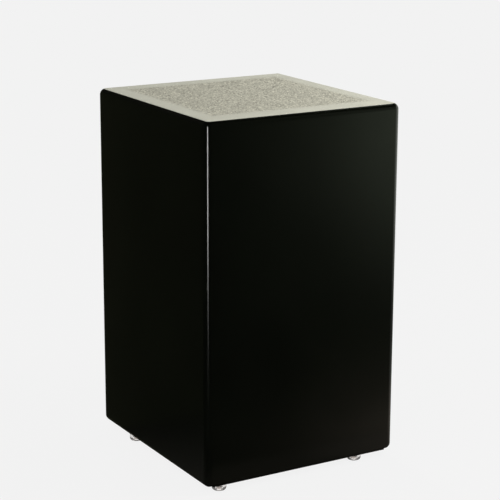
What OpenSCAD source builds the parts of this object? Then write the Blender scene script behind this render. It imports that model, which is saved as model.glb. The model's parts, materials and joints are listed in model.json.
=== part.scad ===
// Cajon: a closed playing box with a thin glued front plate, a back panel with
// a round sound hole, an anti-slip seat and fixed snare wires inside.
// Frame: origin at the centre of the footprint on the floor, +Z up, the
// playing face toward -Y, the back with the sound hole toward +Y. Millimetres.

/* [Overall size] */
// Outside width across the playing face
overall_w = 298.45; // [260:0.05:340]
// Outside depth from playing face to back
overall_d = 311.15; // [270:0.05:350]
// Height from the floor to the seat
overall_h = 501.65; // [440:0.05:560]
// Rounding of every outside edge and corner
edge_r = 9; // [7:0.5:11]

/* [Panels] */
// Thickness of the side, top and bottom panels
shell_t = 12; // [11:0.5:16]
// Thickness of the playing plate
front_t = 3; // [2:0.1:4]
// Thickness of the back panel
back_t = 6; // [4:0.5:8]

/* [Sound hole] */
// Diameter of the sound hole
hole_d = 120; // [90:1:130]
// Height of the sound hole's centre above the floor
hole_z = 322; // [250:1:350]
// Rounding of the sound hole's outer lip
hole_lip_r = 2; // [1:0.25:3]

/* [Seat] */
// Thickness of the seat sheet
seat_t = 0.8; // [0.6:0.1:1.5]
// Thickness of the grip pad let into the seat sheet
pad_t = 0.4; // [0.2:0.1:0.5]
// Width of the grip pad, side to side
pad_w = 252; // [200:1:256]
// Depth of the grip pad, front to back
pad_d = 254; // [200:1:264]
// Corner radius of the grip pad
pad_r = 4; // [1:0.5:10]

/* [Inner blocks] */
// Side of the square glue blocks
block_w = 15; // [12:0.5:18]
// Chamfer on the free edge of the glue blocks
block_c = 3; // [1:0.5:5]

/* [Snare] */
// Height of the snare bar's centre above the floor
bar_z = 356; // [300:1:380]
// Height of the snare bar
bar_h = 24; // [18:1:30]
// Thickness of the snare bar
bar_t = 18; // [14:1:24]
// Distance of each snare strip from the centre plane
snare_x = 78; // [60:1:88]
// Number of wires in one snare strip
snare_n = 10; // [6:1:12]
// Spacing of the wires
snare_pitch = 4.2; // [3.4:0.1:4.6]
// Outside diameter of one coiled wire
coil_d = 2.2; // [1.6:0.1:2.6]
// Visible length of the coiled wires
coil_l = 104; // [80:1:110]
// Thickness of the snare's steel plates
plate_t = 0.8; // [0.6:0.1:1.2]

/* [Feet] */
// Height of the feet
foot_h = 10; // [8:0.5:12]
// Diameter of the feet
foot_d = 19.5; // [16:0.5:21]
// Rounding of the feet's lower edge
foot_r = 4.2; // [2:0.1:4.5]

/* [Hidden] */
$fn = 96;
gap = 0.1;
half_w = overall_w / 2;
half_d = overall_d / 2;
body_z0 = foot_h;
seat_z0 = overall_h - seat_t;
inner_w = overall_w - 2 * shell_t;
plate_y = -half_d + front_t;
back_y = half_d - back_t;
inner_z0 = body_z0 + shell_t;
inner_z1 = seat_z0 - shell_t;
inner_h = inner_z1 - inner_z0;
wire_y = plate_y + gap + coil_d / 2;
strip_y = plate_y + gap + coil_d;
bar_y0 = strip_y + plate_t;
bar_y1 = bar_y0 + bar_t;
bar_l = inner_w - 2 * block_w - 1;
bar_screw_x = bar_l / 2 - 7;
strip_w = (snare_n - 1) * snare_pitch + 6;
wire_z0 = bar_z + 0.5;
screw_r = 1.5;
recess_r = 3.8;
recess_h = 5;
washer_t = 0.8;
// feet: [x, y] of the front left, front right, rear left and rear right foot
foot_fl = [-half_w + 27.5, -half_d + 15.5];
foot_fr = [half_w - 54, -half_d + 16.5];
foot_rl = [-half_w + 15.5, half_d - 76];
foot_rr = [half_w - 15.5, half_d - 76];

// ---- shared shapes ----

// quarter-round cutter along +Z, its solid corner toward +X +Y
module edge_cutter(len) {
    difference() {
        cube([edge_r + 2, edge_r + 2, len]);
        translate([0, 0, -1]) cylinder(r = edge_r, h = len + 2);
    }
}

// ball-corner cutter, its solid corner toward +X +Y +Z
module corner_cutter() {
    difference() {
        cube([edge_r + 2, edge_r + 2, edge_r + 2]);
        sphere(r = edge_r);
    }
}

// the rounded outside of the box, as a solid
module envelope() {
    cx = half_w - edge_r;
    cy = half_d - edge_r;
    cz = (overall_h - body_z0) / 2 - edge_r;
    translate([0, 0, (overall_h + body_z0) / 2]) difference() {
        cube([overall_w, overall_d, overall_h - body_z0], center = true);
        for (mx = [0, 1], my = [0, 1]) mirror([mx, 0, 0]) mirror([0, my, 0])
            translate([cx, cy, -cz]) edge_cutter(2 * cz);
        for (mx = [0, 1], mz = [0, 1]) mirror([mx, 0, 0]) mirror([0, 0, mz])
            translate([cx, cy, cz]) rotate([90, 0, 0]) edge_cutter(2 * cy);
        for (my = [0, 1], mz = [0, 1]) mirror([0, my, 0]) mirror([0, 0, mz])
            translate([-cx, cy, cz]) rotate([90, 0, 90]) edge_cutter(2 * cx);
        for (mx = [0, 1], my = [0, 1], mz = [0, 1])
            mirror([mx, 0, 0]) mirror([0, my, 0]) mirror([0, 0, mz])
                translate([cx, cy, cz]) corner_cutter();
    }
}

// one foot's fixing hole pattern: a plain bore for the screw
module pilot(p, z0, z1, r) {
    translate([p[0], p[1], z0]) cylinder(r = r, h = z1 - z0, $fn = 48);
}

// square bar with one chamfered edge, section in XY, along +Z
module chamfered_bar(a, len) {
    linear_extrude(height = len)
        polygon([[0, 0], [a, 0], [a, a - block_c], [a - block_c, a], [0, a]]);
}

// rounded rectangle, centred
module round_rect(w, d, r) {
    union() {
        square([w - 2 * r, d], center = true);
        square([w, d - 2 * r], center = true);
        for (sx = [-1, 1], sy = [-1, 1])
            translate([sx * (w / 2 - r), sy * (d / 2 - r)]) circle(r = r);
    }
}

// ---- box panels ----

module front_plate() {
    color("black") intersection() {
        envelope();
        translate([-half_w - 1, -half_d - 1, 0])
            cube([overall_w + 2, front_t + 1, seat_z0]);
    }
}

module back_panel() {
    color("black") difference() {
        intersection() {
            envelope();
            translate([-half_w - 1, back_y, 0])
                cube([overall_w + 2, back_t + 1, seat_z0]);
        }
        translate([0, back_y - 1, hole_z]) rotate([-90, 0, 0])
            cylinder(d = hole_d, h = back_t + 2);
        translate([0, half_d - hole_lip_r, hole_z]) rotate([-90, 0, 0])
            rotate_extrude() translate([hole_d / 2 - 1, 0]) difference() {
                square([hole_lip_r + 1, hole_lip_r + 1]);
                translate([hole_lip_r + 1, 0]) circle(r = hole_lip_r);
            }
    }
}

module side_panel() {
    intersection() {
        envelope();
        translate([-half_w - 1, plate_y, 0])
            cube([shell_t + 1, back_y - plate_y, seat_z0]);
    }
}

module left_side_panel() {
    color("black") side_panel();
}

module right_side_panel() {
    color("black") mirror([1, 0, 0]) side_panel();
}

module top_panel() {
    color("black") translate([-inner_w / 2, plate_y, inner_z1])
        cube([inner_w, back_y - plate_y, shell_t]);
}

module bottom_panel() {
    color("black") difference() {
        translate([-inner_w / 2, plate_y, body_z0])
            cube([inner_w, back_y - plate_y, shell_t]);
        for (p = [foot_fl, foot_fr, foot_rl, foot_rr])
            pilot(p, body_z0 - 1, body_z0 + 9, 1.5);
    }
}

module seat_sheet() {
    color("gray") difference() {
        intersection() {
            envelope();
            translate([-half_w - 1, -half_d - 1, seat_z0])
                cube([overall_w + 2, overall_d + 2, seat_t + 1]);
        }
        translate([0, 0, overall_h - pad_t]) linear_extrude(height = pad_t + 1)
            round_rect(pad_w, pad_d, pad_r);
    }
}

module seat_grip_pad() {
    color("gray") translate([0, 0, overall_h - pad_t]) linear_extrude(height = pad_t)
        round_rect(pad_w, pad_d, pad_r);
}

// ---- inner glue blocks ----

module upright_block() {
    translate([-inner_w / 2, plate_y, inner_z0]) chamfered_bar(block_w, inner_h);
}

module upright_block_back() {
    translate([-inner_w / 2, back_y, inner_z0]) mirror([0, 1, 0])
        chamfered_bar(block_w, inner_h);
}

module cross_block() {
    translate([-inner_w / 2 + block_w, 0, 0]) rotate([90, 0, 90])
        chamfered_bar(block_w, inner_w - 2 * block_w);
}

module glue_block_front_left() {
    color("tan") upright_block();
}

module glue_block_front_right() {
    color("tan") mirror([1, 0, 0]) upright_block();
}

module glue_block_back_left() {
    color("tan") upright_block_back();
}

module glue_block_back_right() {
    color("tan") mirror([1, 0, 0]) upright_block_back();
}

module glue_block_bottom_front() {
    color("tan") translate([0, plate_y, inner_z0]) cross_block();
}

module glue_block_bottom_back() {
    color("tan") translate([0, back_y, inner_z0]) mirror([0, 1, 0]) cross_block();
}

module glue_block_top_front() {
    color("tan") translate([0, plate_y, inner_z1]) mirror([0, 0, 1]) cross_block();
}

module glue_block_top_back() {
    color("tan") translate([0, back_y, inner_z1]) mirror([0, 1, 0]) mirror([0, 0, 1])
        cross_block();
}

// ---- snare ----

// cylinder along +Y from y = 0
module ycyl(r, len) {
    rotate([-90, 0, 0]) cylinder(r = r, h = len, $fn = 48);
}

// cross recess of a screw head, cut from -Y side at y = 0
module cross_recess(r, depth) {
    union() {
        translate([-r, -1, -0.45]) cube([2 * r, depth + 1, 0.9]);
        translate([-0.45, -1, -r]) cube([0.9, depth + 1, 2 * r]);
    }
}

module snare_bar() {
    color("burlywood") difference() {
        translate([-bar_l / 2, bar_y0, bar_z - bar_h / 2]) cube([bar_l, bar_t, bar_h]);
        for (sx = [-1, 1]) {
            translate([sx * bar_screw_x, bar_y0 - 1, bar_z]) ycyl(1.75, bar_t + 2);
            translate([sx * bar_screw_x, bar_y0 - 1, bar_z]) ycyl(4, 5);
            for (dx = [-12, 12])
                translate([sx * snare_x + dx, bar_y0 - 1, bar_z - 5]) ycyl(1.1, 9);
        }
    }
}

module snare_cleat() {
    difference() {
        translate([-inner_w / 2, bar_y1, bar_z - 18]) cube([29, 15, 36]);
        translate([-bar_screw_x, bar_y1 - 1, bar_z]) ycyl(1.75, 13);
    }
}

module snare_cleat_left() {
    color("burlywood") snare_cleat();
}

module snare_cleat_right() {
    color("burlywood") mirror([1, 0, 0]) snare_cleat();
}

module bar_screw() {
    translate([-bar_screw_x, bar_y0 + 1.6, bar_z]) difference() {
        union() {
            ycyl(3.5, 2.4);
            ycyl(1.75, 2.4 + bar_t - 4 + 11.4);
        }
        cross_recess(2, 1.4);
    }
}

module snare_bar_screw_left() {
    color("silver") bar_screw();
}

module snare_bar_screw_right() {
    color("silver") mirror([1, 0, 0]) bar_screw();
}

module snare_bar_felt() {
    color("dimgray") translate([-45, plate_y + 0.05, bar_z - 9])
        cube([90, bar_y0 - plate_y - 0.05, 18]);
}

module snare_plate() {
    translate([-snare_x, 0, 0]) difference() {
        translate([-strip_w / 2, strip_y, bar_z - 9.5]) cube([strip_w, plate_t, 19]);
        for (dx = [-12, 12])
            translate([dx, strip_y - 1, bar_z - 5]) ycyl(1.1, plate_t + 2);
    }
}

module snare_plate_left() {
    color("silver") snare_plate();
}

module snare_plate_right() {
    color("silver") mirror([1, 0, 0]) snare_plate();
}

module snare_wires() {
    for (i = [0 : snare_n - 1])
        translate([-snare_x + (i - (snare_n - 1) / 2) * snare_pitch, wire_y, wire_z0])
            cylinder(d = coil_d, h = coil_l, $fn = 32);
}

module snare_wires_left() {
    color("silver") snare_wires();
}

module snare_wires_right() {
    color("silver") mirror([1, 0, 0]) snare_wires();
}

module snare_clip() {
    translate([-snare_x - strip_w / 2, strip_y, wire_z0 + coil_l - 5])
        cube([strip_w, plate_t, 8]);
}

module snare_clip_left() {
    color("silver") snare_clip();
}

module snare_clip_right() {
    color("silver") mirror([1, 0, 0]) snare_clip();
}

module plate_screws() {
    for (dx = [-12, 12])
        translate([-snare_x + dx, strip_y - 1.5, bar_z - 5]) difference() {
            union() {
                ycyl(2.3, 1.5);
                ycyl(1.1, 1.5 + plate_t + 7.5);
            }
            cross_recess(1.4, 0.8);
        }
}

module snare_plate_screws_left() {
    color("silver") plate_screws();
}

module snare_plate_screws_right() {
    color("silver") mirror([1, 0, 0]) plate_screws();
}

// ---- feet ----

module foot(p) {
    translate([p[0], p[1], 0]) rotate_extrude() difference() {
        union() {
            square([foot_d / 2 - foot_r, foot_h]);
            translate([0, foot_r]) square([foot_d / 2, foot_h - foot_r]);
            translate([foot_d / 2 - foot_r, foot_r]) circle(r = foot_r);
        }
        translate([-20, -1]) square([20, foot_h + 2]);
        translate([-1, -1]) square([recess_r + 1, recess_h + 1]);
        translate([-1, -1]) square([screw_r + 1, foot_h + 2]);
    }
}

module foot_washer(p) {
    translate([p[0], p[1], recess_h - washer_t]) difference() {
        cylinder(r = recess_r - 0.1, h = washer_t, $fn = 48);
        translate([0, 0, -1]) cylinder(r = screw_r + 0.1, h = washer_t + 2, $fn = 48);
    }
}

module foot_screw(p) {
    z = recess_h - washer_t - 2;
    translate([p[0], p[1], z]) difference() {
        union() {
            cylinder(r = 3.1, h = 2, $fn = 48);
            cylinder(r = screw_r, h = foot_h - z + 8.8, $fn = 48);
        }
        translate([-2, -0.45, -1]) cube([4, 0.9, 2.2]);
        translate([-0.45, -2, -1]) cube([0.9, 4, 2.2]);
    }
}

module foot_front_left() {
    color("lightgray") foot(foot_fl);
}

module foot_front_right() {
    color("lightgray") foot(foot_fr);
}

module foot_rear_left() {
    color("lightgray") foot(foot_rl);
}

module foot_rear_right() {
    color("lightgray") foot(foot_rr);
}

module foot_washer_front_left() {
    color("silver") foot_washer(foot_fl);
}

module foot_washer_front_right() {
    color("silver") foot_washer(foot_fr);
}

module foot_washer_rear_left() {
    color("silver") foot_washer(foot_rl);
}

module foot_washer_rear_right() {
    color("silver") foot_washer(foot_rr);
}

module foot_screw_front_left() {
    color("silver") foot_screw(foot_fl);
}

module foot_screw_front_right() {
    color("silver") foot_screw(foot_fr);
}

module foot_screw_rear_left() {
    color("silver") foot_screw(foot_rl);
}

module foot_screw_rear_right() {
    color("silver") foot_screw(foot_rr);
}

front_plate();
back_panel();
left_side_panel();
right_side_panel();
top_panel();
bottom_panel();
seat_sheet();
seat_grip_pad();
glue_block_front_left();
glue_block_front_right();
glue_block_back_left();
glue_block_back_right();
glue_block_top_front();
glue_block_top_back();
glue_block_bottom_front();
glue_block_bottom_back();
snare_bar();
snare_cleat_left();
snare_cleat_right();
snare_bar_screw_left();
snare_bar_screw_right();
snare_bar_felt();
snare_plate_left();
snare_plate_right();
snare_wires_left();
snare_wires_right();
snare_clip_left();
snare_clip_right();
snare_plate_screws_left();
snare_plate_screws_right();
foot_front_left();
foot_front_right();
foot_rear_left();
foot_rear_right();
foot_washer_front_left();
foot_washer_front_right();
foot_washer_rear_left();
foot_washer_rear_right();
foot_screw_front_left();
foot_screw_front_right();
foot_screw_rear_left();
foot_screw_rear_right();
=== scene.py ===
"""Cajon: the finished look of a rounded, black lacquered box drum.

The sizes come from the loaded frame. Each group of pieces has its own
operator, and the panel in the sidebar lists them in the order they are made.
"""

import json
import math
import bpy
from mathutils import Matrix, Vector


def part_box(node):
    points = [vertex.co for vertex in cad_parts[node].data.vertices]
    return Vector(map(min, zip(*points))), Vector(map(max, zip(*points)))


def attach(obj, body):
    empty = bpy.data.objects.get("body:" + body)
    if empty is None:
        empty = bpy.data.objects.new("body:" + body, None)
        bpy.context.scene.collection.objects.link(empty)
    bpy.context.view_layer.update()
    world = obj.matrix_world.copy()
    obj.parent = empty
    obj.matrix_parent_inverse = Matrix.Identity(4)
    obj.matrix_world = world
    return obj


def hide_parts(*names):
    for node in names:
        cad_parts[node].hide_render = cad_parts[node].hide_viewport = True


bl_info = {
    "name": "Cajon",
    "version": (1, 0, 0),
    "blender": (4, 5, 0),
    "location": "View3D > Sidebar > Cajon",
    "description": "Builds a lacquered cajon with its seat, feet and inner snare",
    "category": "Object",
}

import bmesh
import bpy
import numpy as np
from bpy.props import (
    FloatProperty,
    FloatVectorProperty,
    IntProperty,
    PointerProperty,
)
from bpy.types import Operator, Panel, PropertyGroup
from mathutils import Matrix, Vector

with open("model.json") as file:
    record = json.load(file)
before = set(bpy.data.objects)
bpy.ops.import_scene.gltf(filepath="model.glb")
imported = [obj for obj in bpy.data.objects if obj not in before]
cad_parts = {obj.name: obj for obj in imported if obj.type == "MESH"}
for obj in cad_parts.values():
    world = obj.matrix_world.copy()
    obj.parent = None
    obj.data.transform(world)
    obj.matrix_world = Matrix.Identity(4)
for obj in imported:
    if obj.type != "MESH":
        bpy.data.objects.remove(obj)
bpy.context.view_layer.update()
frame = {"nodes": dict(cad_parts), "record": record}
BODY = "root"
MM = 0.001

# ---------------------------------------------------------------- measures


def side(node, axis, end):
    """One coordinate of a node's box: end 0 is its low side, 1 its high side."""
    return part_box(node)[end][axis]


class Box:
    """The lacquered box's main planes, read from the frame."""

    left = side("left_side_panel", 0, 0)
    right = side("right_side_panel", 0, 1)
    front = side("front_plate", 1, 0)
    back = side("back_panel", 1, 1)
    foot = side("left_side_panel", 2, 0)
    top = side("seat_sheet", 2, 1)
    inner_left = side("left_side_panel", 0, 1)
    inner_right = side("right_side_panel", 0, 0)
    plate_back = side("front_plate", 1, 1)
    back_front = side("back_panel", 1, 0)
    seat_under = side("seat_sheet", 2, 0)


def mount(name):
    """A mount of the record by its name."""
    return next(m for m in frame["record"]["mounts"] if m["name"] == name)


HOLE_Z = mount("sound_hole")["pos_m"][2]
HOLE_R = mount("sound_hole")["dims"]["r_mm"] * MM
FEET = ("front_left", "front_right", "rear_left", "rear_right")
# a hair more than the screws' own radius
SCREW_R = 0.00152
# how far a cutter reaches past the piece that it cuts
OVERCUT = 0.004
WIRES_A_SIDE = 10

# ---------------------------------------------------------------- settings


def length(name, text, default, low, high):
    """A length property in metres."""
    return FloatProperty(
        name=name,
        description=text,
        default=default,
        min=low,
        max=high,
        unit="LENGTH",
        subtype="DISTANCE",
        precision=5,
    )


def colour(name, text, default):
    """A colour property."""
    return FloatVectorProperty(
        name=name,
        description=text,
        default=default,
        size=3,
        min=0.0,
        max=1.0,
        subtype="COLOR",
    )


class CajonBoxSettings(PropertyGroup):
    edge_radius: length("Edge radius", "Rounding of the outside edges", 0.009, 0.002, 0.02)
    edge_steps: IntProperty(
        name="Edge steps", description="Faces across one rounded edge", default=20, min=4, max=48
    )
    seam: length("Seam", "Bevel beside each glued seam", 0.0002, 0.00005, 0.001)
    hole_lip: length("Hole lip", "Rounding of the sound hole's lip", 0.002, 0.0005, 0.004)
    lacquer: colour("Lacquer", "Colour of the black lacquer", (0.0018, 0.0022, 0.0013))
    birch: colour("Birch", "Colour of the bare plywood inside", (0.56, 0.40, 0.24))


class CajonSeatSettings(PropertyGroup):
    border: colour("Border", "Colour of the smooth border", (0.49, 0.486, 0.407))
    grit: colour("Grit", "Colour of the grit", (0.475, 0.463, 0.375))
    grain: length("Grain", "Spacing of the grit's grains", 0.0013, 0.0008, 0.004)
    relief: length("Relief", "Height of the grains", 0.0003, 0.0, 0.0006)


class CajonFeetSettings(PropertyGroup):
    clear: colour("Clear vinyl", "Tint of the clear feet", (0.975, 0.94, 0.915))
    steel: colour("Screw steel", "Colour of the screws in the feet", (0.60, 0.53, 0.49))
    sole_round: length("Sole rounding", "Rounding of the sole's edge", 0.0038, 0.001, 0.0045)
    recess: length("Recess", "Radius of the screw's recess", 0.0038, 0.002, 0.005)
    recess_depth: length("Recess depth", "Depth of the screw's recess", 0.005, 0.002, 0.008)
    recess_lip: length("Recess lip", "Rounding of the recess's lip", 0.0004, 0.0001, 0.001)
    brim_round: length("Brim rounding", "Rounding beside the bottom panel", 0.0006, 0.0002, 0.002)


class CajonSnareSettings(PropertyGroup):
    wire: length("Wire", "Diameter of the drawn wire in the coils", 0.0006, 0.0003, 0.0009)
    pitch: length("Pitch", "Advance of the coil in one turn", 0.0026, 0.001, 0.005)
    steel: colour("Wire steel", "Colour of the snare wires", (0.62, 0.61, 0.59))
    beech: colour("Beech", "Colour of the snare bar", (0.50, 0.32, 0.18))
    felt: colour("Felt", "Colour of the damper felt", (0.05, 0.05, 0.055))


class CajonStageSettings(PropertyGroup):
    paper: colour("Paper", "Colour of the floor and the surroundings", (0.888, 0.888, 0.888))
    azimuth: FloatProperty(
        name="Azimuth",
        description="Camera's direction round the box",
        default=math.radians(-30.3879),
        subtype="ANGLE",
    )
    elevation: FloatProperty(
        name="Elevation",
        description="Camera's height above the horizon",
        default=math.radians(15.3409),
        subtype="ANGLE",
    )
    roll: FloatProperty(
        name="Roll", description="Camera's roll", default=math.radians(0.2189), subtype="ANGLE"
    )
    distance: length("Distance", "Camera's distance from the box's middle", 2.3724, 0.5, 20.0)
    aside: length("Aim aside", "How far right of the middle the camera aims", 0.0066, -0.1, 0.1)
    above: length("Aim above", "How far above the middle the camera aims", 0.0318, -0.1, 0.1)
    lens: FloatProperty(
        name="Lens",
        description="Focal length in millimetres",
        default=121.634,
        min=20.0,
        max=300.0,
        unit="CAMERA",
    )


# ---------------------------------------------------------------- mesh tools


def ramped(low, high, radius, steps):
    """Places along one cube side: finer and finer through both rounded ends."""
    turns = [math.radians(45) * k / steps for k in range(steps + 1)]
    start = [low + radius - radius * math.tan(a) for a in reversed(turns)]
    end = [high - radius + radius * math.tan(a) for a in turns]
    return start + end


def rounded_block(low, high, radius, steps):
    """A box with round edges and ball corners, made of four-sided faces."""
    bm = bmesh.new()
    low, high = Vector(low), Vector(high)
    spans = [ramped(low[i], high[i], radius, steps // 2) for i in range(3)]
    for axis in range(3):
        u, v = (axis + 1) % 3, (axis + 2) % 3
        for end in (low, high):
            rows = []
            for a in spans[u]:
                row = []
                for b in spans[v]:
                    p = Vector((0, 0, 0))
                    p[axis], p[u], p[v] = end[axis], a, b
                    core = Vector(
                        [min(max(p[i], low[i] + radius), high[i] - radius) for i in range(3)]
                    )
                    row.append(bm.verts.new(core + (p - core).normalized() * radius))
                rows.append(row)
            for i in range(len(rows) - 1):
                for j in range(len(rows[i]) - 1):
                    quad = (rows[i][j], rows[i + 1][j], rows[i + 1][j + 1], rows[i][j + 1])
                    bm.faces.new(quad if end is high else quad[::-1])
    bmesh.ops.remove_doubles(bm, verts=bm.verts, dist=1e-7)
    return bm


def plain_block(low, high):
    """A sharp box between two corners."""
    bm = bmesh.new()
    bmesh.ops.create_cube(bm, size=1.0)
    low, high = Vector(low), Vector(high)
    for v in bm.verts:
        v.co = Vector([(low[i] + high[i]) / 2 + v.co[i] * (high[i] - low[i]) for i in range(3)])
    return bm


def saw(bm, point, normal):
    """Cuts away what lies on the normal's side of a plane and closes the cut."""
    cut = bmesh.ops.bisect_plane(
        bm,
        geom=bm.verts[:] + bm.edges[:] + bm.faces[:],
        dist=1e-7,
        plane_co=Vector(point),
        plane_no=Vector(normal),
        clear_outer=True,
    )
    rim = [e for e in cut["geom_cut"] if isinstance(e, bmesh.types.BMEdge)]
    bmesh.ops.edgeloop_fill(bm, edges=rim)


def on_plane(face, axis, value):
    """True if a face lies flat on a coordinate plane."""
    return all(abs(v.co[axis] - value) < 1e-6 for v in face.verts)


def ease_edges(bm, width, angle=35.0, steps=2):
    """Bevels the sharp edges of a mesh."""
    edges = [
        e for e in bm.edges if e.is_manifold and e.calc_face_angle(0.0) > math.radians(angle)
    ]
    if edges:
        bmesh.ops.bevel(
            bm,
            geom=edges,
            offset=width,
            segments=steps,
            profile=0.5,
            affect="EDGES",
            clamp_overlap=True,
        )


def turned(profile, centre, sides=96):
    """A closed ring or solid turned about the vertical: profile is (radius, z)."""
    bm = bmesh.new()
    rings = []
    for radius, z in profile:
        if radius < 1e-9:
            rings.append([bm.verts.new((centre[0], centre[1], z))])
            continue
        rings.append(
            [
                bm.verts.new(
                    (
                        centre[0] + radius * math.cos(2 * math.pi * k / sides),
                        centre[1] + radius * math.sin(2 * math.pi * k / sides),
                        z,
                    )
                )
                for k in range(sides)
            ]
        )
    for a, b in zip(rings, rings[1:] + rings[:1]):
        for k in range(sides):
            n = (k + 1) % sides
            if len(a) == 1 and len(b) == 1:
                break
            if len(a) == 1:
                bm.faces.new((a[0], b[k], b[n]))
            elif len(b) == 1:
                bm.faces.new((a[k], b[0], a[n]))
            else:
                bm.faces.new((a[k], b[k], b[n], a[n]))
    bmesh.ops.recalc_face_normals(bm, faces=bm.faces)
    return bm


def arc(cx, cz, radius, start, end, steps):
    """Points on an arc in the (radius, z) plane, angles in degrees."""
    angles = [math.radians(start + (end - start) * k / steps) for k in range(steps + 1)]
    return [(cx + radius * math.cos(a), cz + radius * math.sin(a)) for a in angles]


def finished(name, bm, materials, node=None, smooth=35.0, weighted=True):
    """Turns a bmesh into a piece that stands for a CAD node."""
    for f in bm.faces:
        f.smooth = True
    for e in bm.edges:
        e.smooth = not e.is_manifold or e.calc_face_angle(0.0) < math.radians(smooth)
    mesh = bpy.data.meshes.new(name)
    bm.to_mesh(mesh)
    bm.free()
    obj = bpy.data.objects.new(name, mesh)
    bpy.context.scene.collection.objects.link(obj)
    for m in materials:
        mesh.materials.append(m)
    if weighted:
        shading = obj.modifiers.new("Weighted normals", "WEIGHTED_NORMAL")
        shading.keep_sharp = True
        shading.weight = 50
    if node:
        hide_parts(node)
    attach(obj, BODY)
    return obj


def cut_out(obj, cutter_bm):
    """Cuts a second mesh out of a piece and leaves no modifier behind."""
    mesh = bpy.data.meshes.new("cutter")
    cutter_bm.to_mesh(mesh)
    cutter_bm.free()
    cutter = bpy.data.objects.new("cutter", mesh)
    bpy.context.scene.collection.objects.link(cutter)
    cut = obj.modifiers.new("Cut", "BOOLEAN")
    cut.operation = "DIFFERENCE"
    cut.solver = "EXACT"
    cut.object = cutter
    with bpy.context.temp_override(object=obj, active_object=obj, selected_objects=[obj]):
        bpy.ops.object.modifier_move_to_index(modifier=cut.name, index=0)
        bpy.ops.object.modifier_apply(modifier=cut.name)
    bpy.data.objects.remove(cutter)
    bpy.data.meshes.remove(mesh)


# ---------------------------------------------------------------- finishes


class Finish:
    """A small hand for wiring one material's nodes."""

    def __init__(self, name):
        self.material = bpy.data.materials.new(name)
        self.material.use_nodes = True
        self.tree = self.material.node_tree
        self.tree.nodes.clear()
        self.shader = self.add("ShaderNodeBsdfPrincipled")
        self.out = self.add("ShaderNodeOutputMaterial")
        self.link(self.shader, "BSDF", self.out, "Surface")
        self.place = self.add("ShaderNodeTexCoord")

    def add(self, kind, **values):
        node = self.tree.nodes.new(kind)
        for key, value in values.items():
            setattr(node, key, value)
        return node

    def link(self, a, out, b, into):
        self.tree.links.new(a.outputs[out], b.inputs[into])

    def stretched(self, scale):
        """Object coordinates, scaled along each axis."""
        node = self.add("ShaderNodeMapping")
        node.inputs["Scale"].default_value = scale
        self.link(self.place, "Object", node, "Vector")
        return node

    def noise(self, scale, detail=3.0, rough=0.5, over=None):
        node = self.add("ShaderNodeTexNoise")
        node.inputs["Scale"].default_value = scale
        node.inputs["Detail"].default_value = detail
        node.inputs["Roughness"].default_value = rough
        if over is None:
            self.link(self.place, "Object", node, "Vector")
        else:
            self.link(over, "Vector", node, "Vector")
        return node

    def ramp(self, source, out, stops):
        node = self.add("ShaderNodeValToRGB")
        ramp = node.color_ramp
        while len(ramp.elements) < len(stops):
            ramp.elements.new(0.5)
        for element, (at, value) in zip(ramp.elements, stops):
            element.position = at
            element.color = (*value, 1.0)
        self.link(source, out, node, "Fac")
        return node

    def span(self, source, out, low, high, from_low=0.0, from_high=1.0):
        node = self.add("ShaderNodeMapRange")
        node.inputs["From Min"].default_value = from_low
        node.inputs["From Max"].default_value = from_high
        node.inputs["To Min"].default_value = low
        node.inputs["To Max"].default_value = high
        self.link(source, out, node, "Value")
        return node

    def bump(self, source, out, strength, distance, after=None):
        node = self.add("ShaderNodeBump")
        node.inputs["Strength"].default_value = strength
        node.inputs["Distance"].default_value = distance
        self.link(source, out, node, "Height")
        if after is not None:
            self.link(after, "Normal", node, "Normal")
        return node

    def set(self, **values):
        for key, value in values.items():
            self.shader.inputs[key.replace("_", " ").title()].default_value = value


def shade(tint, factor):
    """A colour made lighter or darker."""
    return tuple(min(1.0, c * factor) for c in tint)


def lacquer_finish(tint):
    f = Finish("Black lacquer")
    cloud = f.noise(7.0, 4.0, 0.55)
    tone = f.ramp(cloud, "Fac", [(0.30, shade(tint, 0.82)), (0.72, shade(tint, 1.2))])
    f.link(tone, "Color", f.shader, "Base Color")
    haze = f.noise(16.0, 5.0, 0.6)
    rough = f.span(haze, "Fac", 0.12, 0.17, 0.3, 0.7)
    f.link(rough, "Result", f.shader, "Roughness")
    peel = f.noise(240.0, 2.0, 0.5)
    grain = f.noise(1.0, 4.0, 0.6, over=f.stretched((420.0, 420.0, 16.0)))
    under = f.bump(grain, "Fac", 0.05, 0.00012)
    skin = f.bump(peel, "Fac", 0.05, 0.0002, after=under)
    f.link(skin, "Normal", f.shader, "Normal")
    f.shader.inputs["IOR"].default_value = 1.5
    return f.material


def plywood_finish(tint, name="Bare birch plywood", along=2):
    f = Finish(name)
    scale = [90.0, 90.0, 90.0]
    scale[along] = 5.0
    coarse = f.noise(1.0, 5.0, 0.62, over=f.stretched(scale))
    fine_scale = [900.0, 900.0, 900.0]
    fine_scale[along] = 22.0
    fine = f.noise(1.0, 3.0, 0.6, over=f.stretched(fine_scale))
    tone = f.ramp(
        coarse,
        "Fac",
        [(0.28, shade(tint, 0.74)), (0.5, tint), (0.72, shade(tint, 1.16))],
    )
    pores = f.ramp(fine, "Fac", [(0.34, (0.72, 0.66, 0.58)), (0.52, (1.0, 1.0, 1.0))])
    mix = f.add("ShaderNodeMix", data_type="RGBA", blend_type="MULTIPLY")
    mix.inputs["Factor"].default_value = 0.7
    f.tree.links.new(tone.outputs["Color"], mix.inputs["A"])
    f.tree.links.new(pores.outputs["Color"], mix.inputs["B"])
    f.tree.links.new(mix.outputs["Result"], f.shader.inputs["Base Color"])
    rough = f.span(fine, "Fac", 0.55, 0.78)
    f.link(rough, "Result", f.shader, "Roughness")
    f.link(f.bump(fine, "Fac", 0.25, 0.0002), "Normal", f.shader, "Normal")
    return f.material


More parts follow.
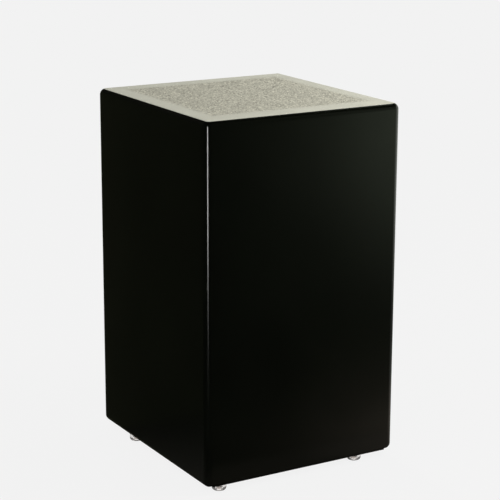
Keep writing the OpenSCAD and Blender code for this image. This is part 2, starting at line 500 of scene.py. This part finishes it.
def ply_edge_finish(tint):
    """The cut edge of plywood whose plies lie one behind the other along Y."""
    f = Finish("Plywood edge")
    bands = f.add("ShaderNodeTexWave", wave_type="BANDS", bands_direction="Y", wave_profile="SIN")
    bands.inputs["Scale"].default_value = 157.0
    bands.inputs["Distortion"].default_value = 0.6
    bands.inputs["Detail Scale"].default_value = 40.0
    f.link(f.place, "Object", bands, "Vector")
    tone = f.ramp(
        bands,
        "Fac",
        [(0.25, shade(tint, 0.5)), (0.45, shade(tint, 0.95)), (0.8, shade(tint, 1.12))],
    )
    f.link(tone, "Color", f.shader, "Base Color")
    fibre = f.noise(1.0, 3.0, 0.6, over=f.stretched((700.0, 3000.0, 700.0)))
    rough = f.span(fibre, "Fac", 0.6, 0.8)
    f.link(rough, "Result", f.shader, "Roughness")
    f.link(f.bump(fibre, "Fac", 0.3, 0.0002), "Normal", f.shader, "Normal")
    return f.material


def seat_border_finish(tint):
    f = Finish("Light laminate")
    cloud = f.noise(26.0, 4.0, 0.6)
    fleck = f.noise(900.0, 2.0, 0.5)
    tone = f.ramp(cloud, "Fac", [(0.3, shade(tint, 0.95)), (0.7, shade(tint, 1.05))])
    dust = f.ramp(fleck, "Fac", [(0.36, (0.93, 0.93, 0.92)), (0.6, (1.0, 1.0, 1.0))])
    mix = f.add("ShaderNodeMix", data_type="RGBA", blend_type="MULTIPLY")
    mix.inputs["Factor"].default_value = 1.0
    f.tree.links.new(tone.outputs["Color"], mix.inputs["A"])
    f.tree.links.new(dust.outputs["Color"], mix.inputs["B"])
    f.tree.links.new(mix.outputs["Result"], f.shader.inputs["Base Color"])
    rough = f.span(cloud, "Fac", 0.52, 0.64)
    f.link(rough, "Result", f.shader, "Roughness")
    f.link(f.bump(fleck, "Fac", 0.12, 0.00008), "Normal", f.shader, "Normal")
    return f.material


def near_edge(f, half, fade):
    """From 0 inside to 1 at the edges of a rectangle about the upright axis."""
    parts = f.add("ShaderNodeSeparateXYZ")
    f.link(f.place, "Object", parts, "Vector")
    either = f.add("ShaderNodeMath", operation="MAXIMUM")
    for slot, axis, reach in ((0, "X", half[0]), (1, "Y", half[1])):
        away = f.add("ShaderNodeMath", operation="ABSOLUTE")
        f.link(parts, axis, away, 0)
        grown = f.span(away, "Value", 0.0, 1.0, reach - fade, reach)
        grown.interpolation_type = "SMOOTHSTEP"
        f.link(grown, "Result", either, slot)
    return either


def grit_finish(tint, border, half, fade):
    """Light grit that thins out into the laminate's tone near its edges."""
    f = Finish("Light grit")
    cells = f.add("ShaderNodeTexVoronoi")
    cells.inputs["Scale"].default_value = 500.0
    cells.inputs["Randomness"].default_value = 1.0
    f.link(f.place, "Object", cells, "Vector")
    grains = f.noise(1100.0, 2.0, 0.7)
    clumps = f.noise(420.0, 2.0, 0.6)
    patches = f.noise(28.0, 4.0, 0.6)
    tone = f.ramp(
        cells,
        "Color",
        [
            (0.0, shade(tint, 0.22)),
            (0.3, shade(tint, 0.86)),
            (0.62, shade(tint, 1.13)),
            (1.0, shade(tint, 1.7)),
        ],
    )
    fine = f.ramp(grains, "Fac", [(0.34, (0.7, 0.7, 0.7)), (0.6, (1.0, 1.0, 1.0))])
    spots = f.ramp(clumps, "Fac", [(0.36, (0.62, 0.61, 0.6)), (0.56, (1.0, 1.0, 1.0))])
    wide = f.ramp(patches, "Fac", [(0.3, (0.94, 0.94, 0.94)), (0.7, (1.0, 1.0, 1.0))])
    colour_now = tone.outputs["Color"]
    for layer, share in ((fine, 0.7), (spots, 0.8), (wide, 1.0)):
        mix = f.add("ShaderNodeMix", data_type="RGBA", blend_type="MULTIPLY")
        mix.inputs["Factor"].default_value = share
        f.tree.links.new(colour_now, mix.inputs["A"])
        f.tree.links.new(layer.outputs["Color"], mix.inputs["B"])
        colour_now = mix.outputs["Result"]
    plain = f.ramp(patches, "Fac", [(0.3, shade(border, 0.94)), (0.7, shade(border, 1.02))])
    bare = f.add("ShaderNodeMix", data_type="RGBA", blend_type="MIX")
    f.link(near_edge(f, half, fade), "Value", bare, "Factor")
    f.tree.links.new(colour_now, bare.inputs["A"])
    f.tree.links.new(plain.outputs["Color"], bare.inputs["B"])
    f.tree.links.new(bare.outputs["Result"], f.shader.inputs["Base Color"])
    rough = f.span(grains, "Fac", 0.5, 0.7)
    f.link(rough, "Result", f.shader, "Roughness")
    lumps = f.bump(cells, "Distance", 0.8, 0.0006)
    f.link(f.bump(grains, "Fac", 0.5, 0.0004, after=lumps), "Normal", f.shader, "Normal")
    return f.material


def clear_finish(tint):
    f = Finish("Clear vinyl")
    haze = f.noise(420.0, 3.0, 0.6)
    tone = f.ramp(haze, "Fac", [(0.3, shade(tint, 0.95)), (0.7, tint)])
    f.link(tone, "Color", f.shader, "Base Color")
    rough = f.span(haze, "Fac", 0.06, 0.13)
    f.link(rough, "Result", f.shader, "Roughness")
    f.link(f.bump(haze, "Fac", 0.05, 0.0001), "Normal", f.shader, "Normal")
    f.shader.inputs["Transmission Weight"].default_value = 0.85
    f.shader.inputs["IOR"].default_value = 1.38
    return f.material


def steel_finish(name, tint, low, high, scale=(300.0, 300.0, 300.0)):
    f = Finish(name)
    brush = f.noise(1.0, 3.0, 0.6, over=f.stretched(scale))
    tone = f.ramp(brush, "Fac", [(0.3, shade(tint, 0.86)), (0.7, shade(tint, 1.08))])
    f.link(tone, "Color", f.shader, "Base Color")
    rough = f.span(brush, "Fac", low, high, 0.3, 0.7)
    f.link(rough, "Result", f.shader, "Roughness")
    f.link(f.bump(brush, "Fac", 0.06, 0.0001), "Normal", f.shader, "Normal")
    f.shader.inputs["Metallic"].default_value = 1.0
    return f.material


def felt_finish(tint):
    f = Finish("Pressed felt")
    fibre = f.noise(1400.0, 5.0, 0.75)
    tone = f.ramp(fibre, "Fac", [(0.32, shade(tint, 0.5)), (0.68, shade(tint, 1.9))])
    f.link(tone, "Color", f.shader, "Base Color")
    rough = f.span(fibre, "Fac", 0.85, 1.0)
    f.link(rough, "Result", f.shader, "Roughness")
    f.link(f.bump(fibre, "Fac", 0.8, 0.0004), "Normal", f.shader, "Normal")
    f.shader.inputs["Sheen Weight"].default_value = 0.4
    return f.material


def once(name, make, *args):
    """A finish by its name, made the first time it is asked for."""
    return bpy.data.materials.get(name) or make(*args)


def lacquer():
    return once("Black lacquer", lacquer_finish, tuple(bpy.context.scene.cajon_box.lacquer))


def birch():
    return once("Bare birch plywood", plywood_finish, tuple(bpy.context.scene.cajon_box.birch))


def dress(node, material):
    """Gives a carried CAD node a finish."""
    obj = frame["nodes"][node]
    if not obj.material_slots:
        obj.data.materials.append(material)
    for s in obj.material_slots:
        s.material = material
    return obj


# ---------------------------------------------------------------- the box


def box_body(settings):
    """The rounded outside of the whole box."""
    return rounded_block(
        (Box.left, Box.front, Box.foot),
        (Box.right, Box.back, Box.top),
        settings.edge_radius,
        settings.edge_steps,
    )


def inner_birch(bm, planes):
    """The faces on these planes are bare plywood."""
    for f in bm.faces:
        if any(on_plane(f, axis, value) for axis, value in planes):
            f.material_index = 1


class CAJON_OT_front_plate(Operator):
    """Make the thin playing plate"""

    bl_idname = "cajon.front_plate"
    bl_label = "Front plate"

    def execute(self, context):
        s = context.scene.cajon_box
        bm = box_body(s)
        saw(bm, (0, Box.plate_back, 0), (0, 1, 0))
        inner_birch(bm, [(1, Box.plate_back)])
        ease_edges(bm, s.seam)
        finished("front_plate_lacquered", bm, [lacquer(), birch()], "front_plate")
        return {"FINISHED"}


class CAJON_OT_side_panels(Operator):
    """Make the two side panels"""

    bl_idname = "cajon.side_panels"
    bl_label = "Side panels"

    def execute(self, context):
        s = context.scene.cajon_box
        for name, inner, way in (
            ("left_side_panel", Box.inner_left, 1),
            ("right_side_panel", Box.inner_right, -1),
        ):
            bm = box_body(s)
            saw(bm, (inner, 0, 0), (way, 0, 0))
            saw(bm, (0, Box.plate_back, 0), (0, -1, 0))
            saw(bm, (0, Box.back_front, 0), (0, 1, 0))
            saw(bm, (0, 0, Box.seat_under), (0, 0, 1))
            inner_birch(bm, [(0, inner)])
            ease_edges(bm, s.seam)
            finished(name + "_lacquered", bm, [lacquer(), birch()], name)
        return {"FINISHED"}


class CAJON_OT_back_panel(Operator):
    """Make the back panel with its sound hole"""

    bl_idname = "cajon.back_panel"
    bl_label = "Back panel"

    def execute(self, context):
        s = context.scene.cajon_box
        bm = box_body(s)
        saw(bm, (0, Box.back_front, 0), (0, -1, 0))
        inner_birch(bm, [(1, Box.back_front)])
        ease_edges(bm, s.seam)
        lip = s.hole_lip
        thick = Box.back - Box.back_front
        wide = HOLE_R + lip
        profile = [(HOLE_R, -OVERCUT), (HOLE_R, thick - lip)]
        profile += arc(wide, thick - lip, lip, 180, 90, 10)[1:]
        profile += [(wide + OVERCUT / 2, thick + OVERCUT / 40), (wide + OVERCUT / 2, thick + OVERCUT)]
        profile += [(0.0, thick + OVERCUT), (0.0, -OVERCUT)]
        cutter = turned(profile, (0, 0), 128)
        for face in cutter.faces:
            if max(v.co.z for v in face.verts) < thick - lip + 1e-6:
                face.material_index = 2
        turn = Matrix.Translation((0, Box.back_front, HOLE_Z)) @ Matrix.Rotation(
            math.radians(-90), 4, "X"
        )
        cutter.transform(turn)
        obj = finished(
            "back_panel_lacquered",
            bm,
            [lacquer(), birch(), once("Plywood edge", ply_edge_finish, tuple(s.birch))],
            "back_panel",
        )
        cut_out(obj, cutter)
        return {"FINISHED"}


class CAJON_OT_end_panels(Operator):
    """Make the top and bottom panels between the sides"""

    bl_idname = "cajon.end_panels"
    bl_label = "Top and bottom panels"

    def execute(self, context):
        s = context.scene.cajon_box
        for name, inner in (("top_panel", 0), ("bottom_panel", 1)):
            low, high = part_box(name)
            bm = plain_block(low, high)
            inner_birch(bm, [(2, (low, high)[inner].z)])
            ease_edges(bm, s.seam)
            obj = finished(
                name + "_lacquered", bm, [lacquer(), birch()], name
            )
            if name == "bottom_panel":
                self.drill(obj)
        return {"FINISHED"}

    @staticmethod
    def drill(obj):
        """Blind holes for the screws of the feet."""
        for place in FEET:
            low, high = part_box("foot_screw_" + place)
            mouth = Box.foot - OVERCUT
            profile = [(SCREW_R, mouth), (SCREW_R, high.z), (0.0, high.z), (0.0, mouth)]
            cut_out(obj, turned(profile, ((low.x + high.x) / 2, (low.y + high.y) / 2), 24))


# ---------------------------------------------------------------- the seat


def rounded_plan(low, high, radius, steps, z):
    """Points of a rounded rectangle, anticlockwise from above."""
    points = []
    for cx, cy, start in (
        (high.x - radius, high.y - radius, 0),
        (low.x + radius, high.y - radius, 90),
        (low.x + radius, low.y + radius, 180),
        (high.x - radius, low.y + radius, 270),
    ):
        for k in range(steps + 1):
            a = math.radians(start + 90 * k / steps)
            points.append(Vector((cx + radius * math.cos(a), cy + radius * math.sin(a), z)))
    return points


def prism(outline, low, high):
    """A solid between two heights over an outline."""
    bm = bmesh.new()
    bottom = [bm.verts.new((p.x, p.y, low)) for p in outline]
    top = [bm.verts.new((p.x, p.y, high)) for p in outline]
    bm.faces.new(bottom[::-1])
    bm.faces.new(top)
    for i in range(len(outline)):
        j = (i + 1) % len(outline)
        bm.faces.new((bottom[i], bottom[j], top[j], top[i]))
    return bm


PAD_CORNER = 0.004
# the width along the pad's edges over which the grit thins out
PAD_FADE = 0.012


class CAJON_OT_seat_sheet(Operator):
    """Make the smooth light sheet that covers the top"""

    bl_idname = "cajon.seat_sheet"
    bl_label = "Seat sheet"

    def execute(self, context):
        seat = context.scene.cajon_seat
        bm = box_body(context.scene.cajon_box)
        saw(bm, (0, 0, Box.seat_under), (0, 0, -1))
        face = once("Light laminate", seat_border_finish, tuple(seat.border))
        obj = finished("seat_sheet_laminate", bm, [face], "seat_sheet")
        low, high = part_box("seat_grip_pad")
        bed = prism(rounded_plan(low, high, PAD_CORNER, 8, 0), low.z, high.z + OVERCUT)
        cut_out(obj, bed)
        return {"FINISHED"}


class CAJON_OT_grip_pad(Operator):
    """Make the grit that keeps the player from sliding"""

    bl_idname = "cajon.grip_pad"
    bl_label = "Grip pad"

    def execute(self, context):
        seat = context.scene.cajon_seat
        low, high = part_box("seat_grip_pad")
        wide, deep = high.x - low.x, high.y - low.y
        nx, ny = round(wide / seat.grain), round(deep / seat.grain)
        rng = np.random.RandomState(11)
        grains = rng.rand(nx + 1, ny + 1)
        soft = (grains + np.roll(grains, 1, 0) + np.roll(grains, 1, 1)) / 3
        relief = 0.65 * grains**3 + 0.35 * soft
        xs = np.linspace(low.x, high.x, nx + 1)
        ys = np.linspace(low.y, high.y, ny + 1)
        near = np.minimum.outer(
            np.minimum(xs - low.x, high.x - xs), np.minimum(ys - low.y, high.y - ys)
        )
        fade = np.clip(near / PAD_FADE, 0.0, 1.0)
        inset = PAD_CORNER
        bm = bmesh.new()
        grid = []
        for i, x in enumerate(xs):
            row = []
            for j, y in enumerate(ys):
                p = Vector((x, y, 0))
                core = Vector(
                    (
                        min(max(x, low.x + inset), high.x - inset),
                        min(max(y, low.y + inset), high.y - inset),
                        0,
                    )
                )
                out = p - core
                if abs(out.x) > 0 and abs(out.y) > 0:
                    p = core + out.normalized() * max(abs(out.x), abs(out.y))
                z = high.z - 0.00002 + seat.relief * (relief[i, j] - 0.35) * fade[i, j]
                row.append(bm.verts.new((p.x, p.y, z)))
            grid.append(row)
        for i in range(nx):
            for j in range(ny):
                bm.faces.new((grid[i][j], grid[i + 1][j], grid[i + 1][j + 1], grid[i][j + 1]))
        rim = [e for e in bm.edges if e.is_boundary]
        made = bmesh.ops.extrude_edge_only(bm, edges=rim)
        lower = [v for v in made["geom"] if isinstance(v, bmesh.types.BMVert)]
        for v in lower:
            v.co.z = low.z
        bottom = [e for e in bm.edges if e.is_boundary]
        bmesh.ops.edgeloop_fill(bm, edges=bottom)
        bmesh.ops.recalc_face_normals(bm, faces=bm.faces)
        face = once(
            "Light grit",
            grit_finish,
            tuple(seat.grit),
            tuple(seat.border),
            (wide / 2, deep / 2),
            PAD_FADE,
        )
        finished(
            "seat_grip_grit", bm, [face], "seat_grip_pad", smooth=60.0, weighted=False
        )
        return {"FINISHED"}


# ---------------------------------------------------------------- the feet


class CAJON_OT_feet(Operator):
    """Make the clear feet and dress their screws and washers"""

    bl_idname = "cajon.feet"
    bl_label = "Feet"

    def execute(self, context):
        s = context.scene.cajon_feet
        clear = once("Clear vinyl", clear_finish, tuple(s.clear))
        steel = once("Foot steel", steel_finish, "Foot steel", tuple(s.steel), 0.22, 0.38)
        for place in FEET:
            low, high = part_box("foot_" + place)
            centre = ((low.x + high.x) / 2, (low.y + high.y) / 2)
            outer = (high.x - low.x) / 2
            round_r = s.sole_round
            lip = s.recess_lip
            brim = s.brim_round
            profile = [(SCREW_R, high.z), (outer - brim, high.z)]
            profile += arc(outer - brim, high.z - brim, brim, 90, 0, 4)
            profile += arc(outer - round_r, low.z + round_r, round_r, 0, -90, 14)
            profile += arc(s.recess + lip, low.z + lip, lip, -90, -180, 4)
            profile += [(s.recess, low.z + s.recess_depth), (SCREW_R, low.z + s.recess_depth)]
            bm = turned(profile, centre)
            finished("foot_" + place + "_vinyl", bm, [clear], "foot_" + place)
            dress("foot_washer_" + place, steel)
            dress("foot_screw_" + place, steel)
        return {"FINISHED"}


# ---------------------------------------------------------------- inside


class CAJON_OT_glue_blocks(Operator):
    """Dress the glue blocks along the inner edges"""

    bl_idname = "cajon.glue_blocks"
    bl_label = "Glue blocks"

    def execute(self, context):
        tint = tuple(context.scene.cajon_box.birch)
        upright = once("Upright batten", plywood_finish, shade(tint, 0.92), "Upright batten", 2)
        across = once("Cross batten", plywood_finish, shade(tint, 0.92), "Cross batten", 0)
        for name in frame["nodes"]:
            if name.startswith("glue_block"):
                cross = "_top_" in name or "_bottom_" in name
                dress(name, across if cross else upright)
        return {"FINISHED"}


class CAJON_OT_snare_bar(Operator):
    """Dress the snare bar, its cleats and the screws"""

    bl_idname = "cajon.snare_bar"
    bl_label = "Snare bar"

    def execute(self, context):
        tint = tuple(context.scene.cajon_snare.beech)
        beech = once("Beech", plywood_finish, tint, "Beech", 0)
        for name in ("snare_bar", "snare_cleat_left", "snare_cleat_right"):
            dress(name, beech)
        zinc = once("Zinc screw", steel_finish, "Zinc screw", (0.62, 0.59, 0.52), 0.25, 0.4)
        for name in frame["nodes"]:
            if name.startswith(("snare_bar_screw", "snare_plate_screws")):
                dress(name, zinc)
        return {"FINISHED"}


class CAJON_OT_snare_felt(Operator):
    """Make the damper felt between the bar and the front plate"""

    bl_idname = "cajon.snare_felt"
    bl_label = "Damper felt"

    def execute(self, context):
        low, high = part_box("snare_bar_felt")
        bm = plain_block(low, high)
        ease_edges(bm, 0.0007, steps=4)
        felt = once("Pressed felt", felt_finish, tuple(context.scene.cajon_snare.felt))
        obj = finished("snare_bar_felt_pad", bm, [felt], "snare_bar_felt")
        return {"FINISHED"}


def coil_into(bm, x, y, z0, z1, radius, wire, pitch, per_turn=10, around=5):
    """A wound wire with straight tails, as one closed tube."""
    tail = 0.005
    turns = (z1 - z0 - 2 * tail) / pitch
    count = int(turns * per_turn)
    path = [Vector((x, y + radius, z0))]
    for k in range(count + 1):
        a = math.pi / 2 + 2 * math.pi * k / per_turn
        z = z0 + tail + (z1 - z0 - 2 * tail) * k / count
        path.append(Vector((x + radius * math.cos(a), y + radius * math.sin(a), z)))
    path.append(Vector((path[-1].x, path[-1].y, z1)))
    rings = []
    for i, p in enumerate(path):
        ahead = path[min(i + 1, len(path) - 1)] - path[max(i - 1, 0)]
        ahead.normalize()
        out = Vector((p.x - x, p.y - y, 0)).normalized()
        up = ahead.cross(out).normalized()
        out = up.cross(ahead).normalized()
        rings.append(
            [
                bm.verts.new(p + (out * math.cos(t) + up * math.sin(t)) * wire / 2)
                for t in [2 * math.pi * k / around for k in range(around)]
            ]
        )
    for a, b in zip(rings, rings[1:]):
        for k in range(around):
            n = (k + 1) % around
            bm.faces.new((a[k], a[n], b[n], b[k]))
    bm.faces.new(rings[0][::-1])
    bm.faces.new(rings[-1])


class CAJON_OT_snare_wires(Operator):
    """Wind the snare wires and dress their plates and clips"""

    bl_idname = "cajon.snare_wires"
    bl_label = "Snare wires"

    def execute(self, context):
        s = context.scene.cajon_snare
        steel = once("Snare steel", steel_finish, "Snare steel", tuple(s.steel), 0.18, 0.3)
        rolled = (40.0, 900.0, 900.0)
        sheet = once(
            "Plate steel", steel_finish, "Plate steel", tuple(s.steel), 0.26, 0.42, rolled
        )
        for hand in ("left", "right"):
            node = "snare_wires_" + hand
            low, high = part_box(node)
            coil = (high.y - low.y) / 2
            step = (high.x - low.x - 2 * coil) / (WIRES_A_SIDE - 1)
            bm = bmesh.new()
            for i in range(WIRES_A_SIDE):
                x = low.x + coil + step * i
                y = (low.y + high.y) / 2
                coil_into(bm, x, y, low.z, high.z, coil - s.wire / 2, s.wire, s.pitch)
            bmesh.ops.recalc_face_normals(bm, faces=bm.faces)
            finished(node + "_wound", bm, [steel], node, smooth=70.0, weighted=False)
            dress("snare_plate_" + hand, sheet)
            dress("snare_clip_" + hand, sheet)
        return {"FINISHED"}


# ---------------------------------------------------------------- the stage


def paper_finish(tint):
    """Pale paper that mostly glows by itself, so that it stays even."""
    f = Finish("Pale paper")
    fibre = f.noise(40.0, 3.0, 0.5)
    own = 0.97
    tone = f.ramp(fibre, "Fac", [(0.3, (0.97 * (1.0 - own),) * 3), (0.7, (1.0 - own,) * 3)])
    f.link(tone, "Color", f.shader, "Base Color")
    f.shader.inputs["Roughness"].default_value = 1.0
    f.shader.inputs["Specular IOR Level"].default_value = 0.0
    f.shader.inputs["Emission Color"].default_value = (*tint, 1.0)
    f.shader.inputs["Emission Strength"].default_value = own
    return f.material


def glow_finish(name, tint, strength, across, upward, size):
    """A glow that fades along a panel's width and height."""
    f = Finish(name)
    spread = f.stretched((1.0 / size[0], 1.0 / size[1], 1.0))
    spread.inputs["Location"].default_value = (0.5, 0.5, 0.0)
    parts = f.add("ShaderNodeSeparateXYZ")
    f.link(spread, "Vector", parts, "Vector")
    wide = f.ramp(parts, "X", [(at, (v, v, v)) for at, v in across])
    tall = [(at, v if isinstance(v, tuple) else shade(tint, v)) for at, v in upward]
    high = f.ramp(parts, "Y", tall)
    mix = f.add("ShaderNodeMix", data_type="RGBA", blend_type="MULTIPLY")
    mix.inputs["Factor"].default_value = 1.0
    f.tree.links.new(wide.outputs["Color"], mix.inputs["A"])
    f.tree.links.new(high.outputs["Color"], mix.inputs["B"])
    f.tree.links.new(mix.outputs["Result"], f.shader.inputs["Emission Color"])
    f.set(base_color=(0.0, 0.0, 0.0, 1.0), roughness=1.0, emission_strength=strength)
    f.shader.inputs["Specular IOR Level"].default_value = 0.0
    f.material.cycles.emission_sampling = "NONE"
    return f.material


def glow_card(name, centre, along, up, size, strength, across, upward, tint):
    """A soft panel, spanned by two directions, that only polished faces mirror."""
    w, h = size[0] / 2, size[1] / 2
    mesh = bpy.data.meshes.new(name)
    mesh.from_pydata([(-w, -h, 0), (w, -h, 0), (w, h, 0), (-w, h, 0)], [], [(0, 1, 2, 3)])
    obj = bpy.data.objects.new(name, mesh)
    bpy.context.scene.collection.objects.link(obj)
    mesh.materials.append(glow_finish(name, tint, strength, across, upward, size))
    x, y = Vector(along).normalized(), Vector(up)
    turn = Matrix((x, y, x.cross(y))).transposed().to_4x4()
    obj.matrix_world = Matrix.Translation(centre) @ turn
    obj.visible_camera = False
    obj.visible_diffuse = False
    obj.visible_transmission = False
    obj.visible_shadow = False
    obj.visible_volume_scatter = False
    return obj


def key_light(name, place, target, size, power, tint):
    """A large soft light."""
    data = bpy.data.lights.new(name, "AREA")
    data.shape = "RECTANGLE"
    data.size, data.size_y = size
    data.energy = power
    data.color = tint
    obj = bpy.data.objects.new(name, data)
    bpy.context.scene.collection.objects.link(obj)
    obj.location = place
    obj.rotation_euler = (Vector(target) - Vector(place)).to_track_quat("-Z", "Y").to_euler()
    obj.visible_camera = False
    obj.visible_glossy = False
    return obj


UP = (0, 0, 1)
EVEN = [(0.0, 1.0), (1.0, 1.0)]

# name, centre, direction along, direction up, size, strength,
# fade along, fade upward, tint; a fade is a list of (place, brightness or colour)
PANELS = (
    (
        "corner panel",
        (-0.945, -1.055, 0.35),
        (0.763, -0.647, 0),
        UP,
        (0.21, 1.3),
        18.0,
        [(0.0, 0.0), (0.15, 1.0), (0.85, 1.0), (1.0, 0.0)],
        [(0.07, 0.0), (0.13, 0.07), (0.185, 0.2), (0.236, 0.52), (0.285, 1.0), (1.0, 0.85)],
        (1.0, 1.0, 1.0),
    ),
    (
        "right panel",
        (1.0, -1.5, 0.75),
        (1, 0, 0),
        UP,
        (1.2, 3.3),
        0.57,
        [
            (0.0, 0.0),
            (0.19, 0.02),
            (0.267, 0.07),
            (0.333, 0.14),
            (0.408, 0.21),
            (0.483, 0.42),
            (0.54, 0.75),
            (0.6, 1.0),
        ],
        [
            (0.07, (0.85, 0.73, 0.63)),
            (0.095, (0.56, 0.46, 0.37)),
            (0.115, (0.28, 0.24, 0.19)),
            (0.14, (0.13, 0.12, 0.095)),
            (0.17, 0.08),
            (0.203, 0.13),
            (0.233, 0.27),
            (0.267, 0.55),
            (0.297, 0.9),
            (0.33, 1.0),
            (0.45, 0.55),
            (0.64, 0.3),
            (0.8, 0.2),
            (1.0, 0.1),
        ],
        (0.87, 1.0, 0.76),
    ),
    (
        "side panel",
        (1.6, -0.5, 0.5),
        (0, 1, 0),
        UP,
        (2.0, 2.2),
        1.3,
        [(0.0, 0.5), (0.3, 0.7), (0.6, 1.0), (0.9, 1.0), (1.0, 0.0)],
        [
            (0.1, 0.4),
            (0.123, 0.2),
            (0.16, 0.12),
            (0.195, 0.35),
            (0.232, 0.6),
            (0.29, 1.0),
            (0.8, 1.0),
            (1.0, 0.0),
        ],
        (0.95, 1.0, 0.9),
    ),
    (
        "far panel",
        (-0.5, 1.6, 1.3),
        (-1, 0, 0),
        UP,
        (1.5, 1.2),
        0.03,
        [(0.0, 0.0), (0.3, 1.0), (0.7, 1.0), (1.0, 0.0)],
        [(0.0, 0.0), (0.35, 0.6), (0.6, 1.0), (1.0, 0.2)],
        (1.0, 0.97, 0.8),
    ),
    (
        "left wash",
        (-0.95, 1.6, -0.1),
        (-1, 0, 0),
        UP,
        (1.6, 2.0),
        0.112,
        [(0.0, 1.0), (0.375, 1.0), (0.41, 0.5), (0.45, 0.25), (1.0, 0.25)],
        [(0.0, 0.45), (0.6, 0.5), (1.0, 1.0)],
        (0.95, 1.0, 0.6),
    ),
    (
        "seat panel",
        (1.7, 1.6, 0.9),
        (-1, 0, 0),
        UP,
        (1.6, 1.4),
        1.8,
        [(0.0, 1.0), (0.6, 1.0), (1.0, 0.0)],
        [(0.0, 0.0), (0.2, 1.0), (0.8, 1.0), (1.0, 0.0)],
        (1.0, 0.99, 0.93),
    ),
    (
        "back panel",
        (0.35, 1.75, 0.3),
        (-1, 0, 0),
        UP,
        (1.0, 0.9),
        0.6,
        [(0.0, 1.0), (0.3, 0.8), (0.7, 0.3), (1.0, 0.0)],
        [(0.0, 0.0), (0.5, 0.6), (1.0, 1.0)],
        (0.95, 1.0, 0.92),
    ),
    (
        "front floor glow",
        (0.15, -0.23, -0.03),
        (1, 0, 0),
        (0, 1, 0),
        (0.8, 0.15),
        0.7,
        [(0.0, 0.05), (0.4, 0.1), (0.65, 0.4), (0.8, 1.0), (1.0, 1.0)],
        EVEN,
        (1.0, 0.86, 0.74),
    ),
    (
        "left floor glow",
        (-0.27, 0.0, -0.03),
        (1, 0, 0),
        (0, 1, 0),
        (0.2, 0.4),
        0.06,
        [(0.0, 0.3), (0.5, 0.6), (1.0, 1.0)],
        [(0.0, 1.0), (0.4, 1.0), (1.0, 0.2)],
        (1.0, 0.95, 0.85),
    ),
)


class CAJON_OT_stage(Operator):
    """Set up the floor, the light and the camera"""

    bl_idname = "cajon.stage"
    bl_label = "Stage"

    def execute(self, context):
        s = context.scene.cajon_stage
        scene = context.scene
        tint = tuple(s.paper)

        bm = bmesh.new()
        bmesh.ops.create_grid(bm, x_segments=8, y_segments=8, size=60.0)
        mesh = bpy.data.meshes.new("floor")
        bm.to_mesh(mesh)
        bm.free()
        floor = bpy.data.objects.new("floor", mesh)
        scene.collection.objects.link(floor)
        mesh.materials.append(paper_finish(tint))
        floor.visible_glossy = False

        world = bpy.data.worlds.new("Studio")
        scene.world = world
        world.use_nodes = True
        sky = world.node_tree.nodes["Background"]
        sky.inputs["Color"].default_value = (*tint, 1.0)
        sky.inputs["Strength"].default_value = 1.0
        world.cycles_visibility.glossy = False

        for panel in PANELS:
            glow_card(*panel)
        key_light("right key", (0.75, -0.45, 1.1), (0, 0, 0.45), (0.5, 0.5), 7.5, (1, 0.99, 0.95))
        beam = key_light("hole light", (0.12, 0.8, 0.38), (0, 0, 0.3), (0.2, 0.2), 1.3, (1, 0.98, 0.94))
        beam.data.spread = math.radians(50)

        middle = Vector((0, 0, 0.25))
        a, e = s.azimuth, s.elevation
        back = Vector((math.sin(a) * math.cos(e), -math.cos(a) * math.cos(e), math.sin(e)))
        right = Vector((math.cos(a), math.sin(a), 0))
        up = right.cross(-back).normalized()
        eye = middle + back * s.distance
        aim = middle + right * s.aside + up * s.above
        look = (aim - eye).normalized()
        right = look.cross(Vector((0, 0, 1))).normalized()
        up = right.cross(look)
        tilted = right * math.cos(s.roll) + up * math.sin(s.roll)
        up = up * math.cos(s.roll) - right * math.sin(s.roll)
        data = bpy.data.cameras.new("camera")
        data.sensor_width = 36.0
        data.lens = s.lens
        data.clip_start, data.clip_end = 0.05, 200.0
        camera = bpy.data.objects.new("camera", data)
        scene.collection.objects.link(camera)
        camera.matrix_world = Matrix(
            (
                (tilted.x, up.x, -look.x, eye.x),
                (tilted.y, up.y, -look.y, eye.y),
                (tilted.z, up.z, -look.z, eye.z),
                (0, 0, 0, 1),
            )
        )
        scene.camera = camera
        scene.view_settings.view_transform = "Standard"
        return {"FINISHED"}


# ---------------------------------------------------------------- sidebar

STEPS = (
    CAJON_OT_front_plate,
    CAJON_OT_side_panels,
    CAJON_OT_back_panel,
    CAJON_OT_end_panels,
    CAJON_OT_seat_sheet,
    CAJON_OT_grip_pad,
    CAJON_OT_feet,
    CAJON_OT_glue_blocks,
    CAJON_OT_snare_bar,
    CAJON_OT_snare_felt,
    CAJON_OT_snare_wires,
    CAJON_OT_stage,
)

SETTINGS = {
    "cajon_box": CajonBoxSettings,
    "cajon_seat": CajonSeatSettings,
    "cajon_feet": CajonFeetSettings,
    "cajon_snare": CajonSnareSettings,
    "cajon_stage": CajonStageSettings,
}


class CAJON_PT_sidebar(Panel):
    """Lists the settings and the steps of the cajon"""

    bl_idname = "CAJON_PT_sidebar"
    bl_label = "Cajon"
    bl_space_type = "VIEW_3D"
    bl_region_type = "UI"
    bl_category = "Cajon"

    def draw(self, context):
        for step in STEPS:
            self.layout.operator(step.bl_idname)
        for name, kind in SETTINGS.items():
            group = getattr(context.scene, name)
            box = self.layout.box()
            for key in kind.__annotations__:
                box.prop(group, key)


def register():
    for kind in (*SETTINGS.values(), *STEPS, CAJON_PT_sidebar):
        bpy.utils.register_class(kind)
    for name, kind in SETTINGS.items():
        setattr(bpy.types.Scene, name, PointerProperty(type=kind))


def unregister():
    for name in SETTINGS:
        delattr(bpy.types.Scene, name)
    for kind in reversed((*SETTINGS.values(), *STEPS, CAJON_PT_sidebar)):
        bpy.utils.unregister_class(kind)


def main():
    register()
    for step in STEPS:
        group, name = step.bl_idname.split(".")
        getattr(getattr(bpy.ops, group), name)()
    bpy.context.view_layer.update()


if __name__ == "__main__":
    main()
